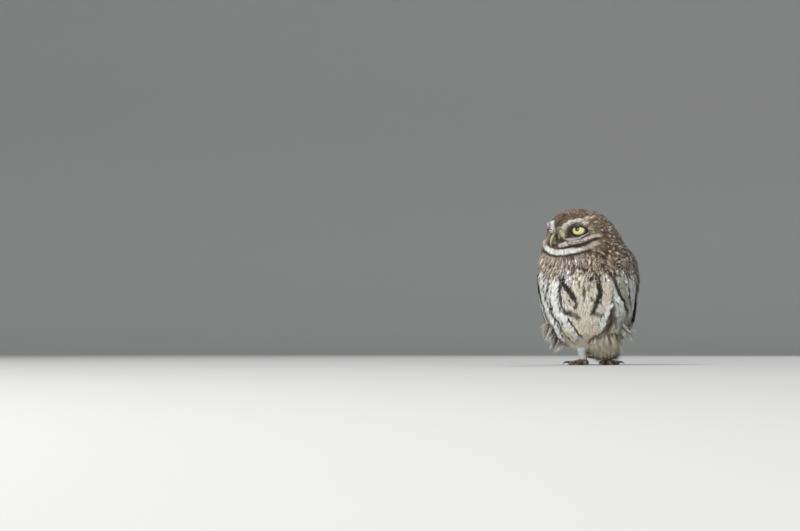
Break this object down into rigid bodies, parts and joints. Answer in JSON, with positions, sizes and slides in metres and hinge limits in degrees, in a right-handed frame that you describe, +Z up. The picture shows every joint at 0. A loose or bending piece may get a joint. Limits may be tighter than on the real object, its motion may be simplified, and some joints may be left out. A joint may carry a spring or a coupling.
{
  "type": "little owl",
  "caption": "Life-size little owl standing on both feet, wings folded, head turned to its right; a still natural-history model.",
  "frame": {"origin": "on the floor, under the middle of the whole owl", "axes": "+Z up; the body faces -Y and the owl's left side is +X; the head is turned 42 degrees to the owl's right"},
  "size_m": [0.1114, 0.1098, 0.171],
  "materials": {
    "brown_plumage": "soft brown feathers with buff spots",
    "pale_plumage": "soft cream feathers with dark streaks",
    "iris": "wet, clear yellow eye",
    "bill": "satin horn, yellow-green",
    "foot": "scaly skin with bristles",
    "claw": "dark horn"
  },
  "bodies": {
    "root": {"bill_lower": "bill", "bill_upper": "bill", "claw_left_hind": "claw", "claw_left_inner": "claw", "claw_left_middle": "claw", "claw_left_outer": "claw", "claw_right_hind": "claw", "claw_right_inner": "claw", "claw_right_middle": "claw", "claw_right_outer": "claw", "eye_left": "iris", "eye_right": "iris", "foot_left": "foot", "foot_right": "foot", "head": "brown_plumage", "leg_left": "pale_plumage", "leg_right": "pale_plumage", "neck": "brown_plumage", "tail": "brown_plumage", "torso": "pale_plumage", "wing_left": "brown_plumage", "wing_right": "brown_plumage"}
  },
  "joints": []
}
